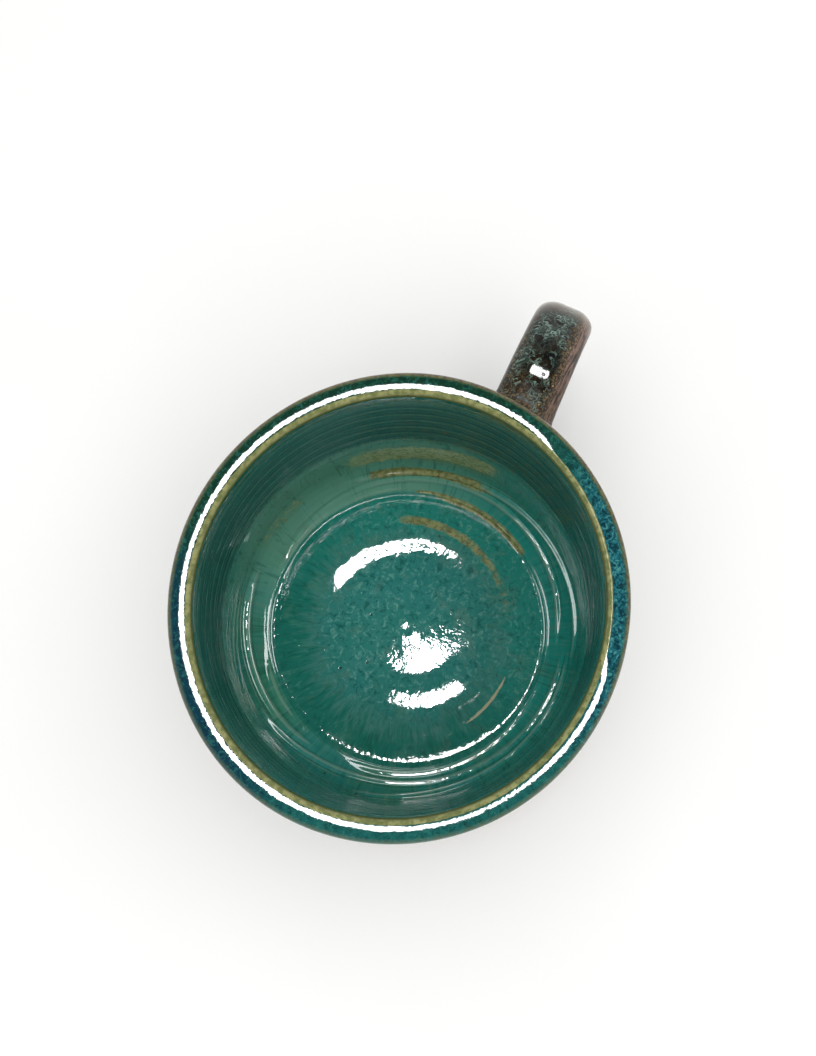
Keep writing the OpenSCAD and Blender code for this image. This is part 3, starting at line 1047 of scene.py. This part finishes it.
def dark_outside():
    m = Surface("dark_outside_glaze")
    thin = m.attributes("thin")[0]
    _, dx, dy, z = m.round_place()
    colour, swell = dark_mottle(m, 2.0)
    fray = m.minus(m.noise(1.1, 3.0, 0.65, shift=14), 0.5)
    # brown on the crests of the throwing rings
    bare = m.step(m.plus(thin, m.times(fray, 0.5)), 0.16, 0.5)
    colour = m.cover(colour, thin_speckle(m), bare, 0.7)
    # the lip's blue-green runs down over the top of it
    run = m.noise(2.2, 3.0, 0.6, 0.4, vector=m.drawn_out(dx, dy, 46, z, 0.12))
    low = m.minus(RIM_OUT_Z + 1.0, m.times(m.step(run, 0.30, 0.72), 21.0))
    over = m.step(m.minus(z, low), -1.5, 3.0)
    tone = m.noise(1.5, 4.0, 0.66, 0.8, shift=9)
    veil = m.blend(m.step(tone, 0.42, 0.60), rgb(16, 58, 50), rgb(58, 122, 112))
    colour = m.cover(colour, veil, over, 0.75)
    # a browner, thicker roll where it stops above the foot
    end = m.step(z, GLAZE_LINE + 4.5, GLAZE_LINE + 1.4)
    colour = m.cover(colour, rgb(74, 52, 28), end, 0.55)
    lines = m.noise(0.9, 2.0, 0.5, vector=m.drawn_out(dx, dy, 4, z, 1.0))
    normal = m.relief(swell, 0.05, below=m.relief(lines, 0.06))
    gloss = m.plus(0.06, m.times(bare, 0.12))
    return m.finish(colour, gloss, normal, 1.54)


def bare_clay(name):
    m = Surface(name)
    r, dx, dy, z = m.round_place()
    body = m.blend(m.step(m.noise(12, 3.0, 0.55), 0.38, 0.64), rgb(176, 138, 108), rgb(148, 108, 80))
    grain = m.noise(0.5, 3.0, 0.7, shift=3)
    body = m.cover(body, rgb(198, 166, 134), m.step(grain, 0.48, 0.66), 0.5)
    iron = dots(m, 2.2, 0.28, 5.0, 0.48)
    body = m.cover(body, rgb(66, 40, 26), iron, 0.85)
    toast = m.step(z, 5.0, 12.0)
    body = m.cover(body, rgb(118, 74, 48), toast, 0.45)
    turned = m.noise(0.7, 2.0, 0.6, vector=m.drawn_out(dx, dy, 5, m.plus(z, r), 1.0))
    scratch = m.relief(turned, 0.16)
    normal = m.relief(m.plus(grain, m.times(iron, -0.8)), 0.10, below=scratch)
    return m.finish(body, m.step(grain, 0.3, 0.7, 0.72, 0.9), normal, 1.45)


def pale_table():
    m = Surface("pale_table")
    tone = m.blend(m.noise(90), rgb(247, 247, 246), rgb(243, 243, 241))
    return m.finish(tone, 0.6, m.relief(m.noise(1.2, shift=2), 0.02), 1.45)


# ---------------- put the mug together

clay = bare_clay("bare_stoneware_clay")
pieces = [
    (make_body(clay), "thrown_body", "bare_stoneware"),
    (make_liner(teal_liner()), "liner_glaze", "teal_liner"),
    (make_lip(lip_glaze()), "rim_glaze", "blue_green_rim"),
    (make_outside(dark_outside()), "outside_glaze", "dark_outside"),
    (make_handle(dark_handle()), "handle_glaze", "dark_handle"),
    (make_strap_clay(clay), "pulled_handle", "handle_clay"),
]
for piece, node, slot in pieces:
    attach(piece, "root")
    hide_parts(node)

# the handle's CAD nodes, inside the new pieces, get the same clay
core = bare_clay("handle_core_clay")
for node in ("pulled_handle", "upper_handle_joint", "lower_handle_joint"):
    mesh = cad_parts[node].data
    mesh.materials.clear()
    mesh.materials.append(core)


# ---------------- table, light and camera

TABLE_HALF = 2500.0  # half the table's side, in millimetres
LAMP_H = 1.09  # height of the three small lamps, in metres
CAMERA_TURN = math.radians(-58)  # the camera's right, round from the handle
CAMERA_AT, CAMERA_AIM = (-12.62, -17.55, 391.0), (24.70, 15.64, 0.0)
CAMERA_UP = (0.8428, 0.5235, 0.1249)


def make_table():
    steps = 24
    sides = [TABLE_HALF * (2 * i / steps - 1) for i in range(steps + 1)]
    points = [(x, y, 0.0) for y in sides for x in sides]
    corners = [j * (steps + 1) + i for j in range(steps) for i in range(steps)]
    faces = [(a, a + 1, a + steps + 2, a + steps + 1) for a in corners]
    table = make_object("table", points, faces, {}, pale_table())
    return table


def soft_light(name, at, size, brightness, only_on=None, shy_of=None, gleam_only=False):
    """A soft lamp, a disc where its sides are equal. A brightness of 1 looks plain white.

    It can light only some pieces, or all but some, or add nothing but reflections.
    """
    width, depth = size
    lamp = bpy.data.lights.new(name, "AREA")
    lamp.shape = "ELLIPSE" if width == depth else "RECTANGLE"
    lamp.size, lamp.size_y = width, depth
    area = width * depth * (math.pi / 4 if width == depth else 1)
    lamp.energy = brightness * math.pi * area
    obj = bpy.data.objects.new(name, lamp)
    bpy.context.scene.collection.objects.link(obj)
    obj.location = at
    obj.rotation_euler = (Vector((0, 0, 0.05)) - at).to_track_quat("-Z", "Y").to_euler()
    obj.visible_camera = False
    obj.visible_diffuse = not gleam_only
    if shy_of or only_on:
        group = bpy.data.collections.new(name + "_reach")
        for piece in shy_of or only_on:
            group.objects.link(piece)
        obj.light_linking.receiver_collection = group
        if shy_of:
            for entry in group.collection_objects:
                entry.light_linking.link_state = "EXCLUDE"
    return obj


def camera_side(right, up, height):
    """A place given along the camera's right and up, in metres from the mug's axis."""
    cosine, sine = math.cos(CAMERA_TURN), math.sin(CAMERA_TURN)
    return Vector((right * cosine - up * sine, right * sine + up * cosine, height))


def studio_world():
    """Bright near the horizon and dim overhead, so that the sides gleam and the inside stays deep."""
    world = bpy.data.worlds.new("studio")
    bpy.context.scene.world = world
    world.use_nodes = True
    nodes, links = world.node_tree.nodes, world.node_tree.links
    where = nodes.new("ShaderNodeTexCoord")
    split = nodes.new("ShaderNodeSeparateXYZ")
    fade = nodes.new("ShaderNodeMapRange")
    fade.interpolation_type = "SMOOTHSTEP"
    for name, value in (("From Min", 0.15), ("From Max", 0.75), ("To Min", 0.95), ("To Max", 0.10)):
        fade.inputs[name].default_value = value
    links.new(where.outputs["Generated"], split.inputs[0])
    links.new(split.outputs[2], fade.inputs["Value"])
    nodes["Background"].inputs[0].default_value = (1.0, 1.0, 1.0, 1.0)
    links.new(fade.outputs[0], nodes["Background"].inputs[1])


def light_scene(table):
    liner, handle = [piece for piece, node, _ in pieces if node in ("liner_glaze", "handle_glaze")]
    studio_world()
    fill = soft_light("ceiling_fill", camera_side(0.10, -0.05, 1.3), (1.5, 1.4), 2.1)
    wash = soft_light("table_wash", camera_side(0, 0, 2.4), (4.0, 3.9), 0.55, only_on=[table])
    for lamp in (fill, wash):
        lamp.visible_glossy = False
    # three small lamps overhead: one for the lip and outside, one for the handle, one for the liner
    soft_light("overhead", camera_side(-0.017, 0.07, LAMP_H), (0.068, 0.068), 44,
               shy_of=[liner, handle])
    soft_light("over_handle", camera_side(0.25, 0.57, LAMP_H), (0.19, 0.19), 42, only_on=[handle])
    soft_light("over_liner", camera_side(-0.001, 0.014, LAMP_H), (0.060, 0.060), 80, only_on=[liner])
    # three windows that only gleam on the ledges inside
    for name, at, size, brightness in (
            ("window_right", camera_side(0.75, 0.10, 1.00), (0.4, 0.5), 13),
            ("window_far", camera_side(0.05, 0.78, 1.00), (0.5, 0.35), 12),
            ("window_left", camera_side(-0.60, 0.0, 1.05), (0.3, 0.4), 9)):
        soft_light(name, at, size, brightness, only_on=[liner], gleam_only=True)


def place_camera():
    camera = bpy.data.cameras.new("camera")
    camera.sensor_fit = "AUTO"
    camera.sensor_width = 36.0
    camera.lens = 47.39
    obj = bpy.data.objects.new("camera", camera)
    bpy.context.scene.collection.objects.link(obj)
    at = Vector(CAMERA_AT) * MM
    look = (Vector(CAMERA_AIM) * MM - at).normalized()
    right = look.cross(Vector(CAMERA_UP)).normalized()
    up = right.cross(look)
    turn = Matrix((right, up, -look)).transposed()
    obj.matrix_world = Matrix.Translation(at) @ turn.to_4x4()
    camera.clip_start = 0.01
    bpy.context.scene.camera = obj


light_scene(make_table())
place_camera()
bpy.context.scene.view_settings.view_transform = "Standard"
bpy.context.view_layer.update()
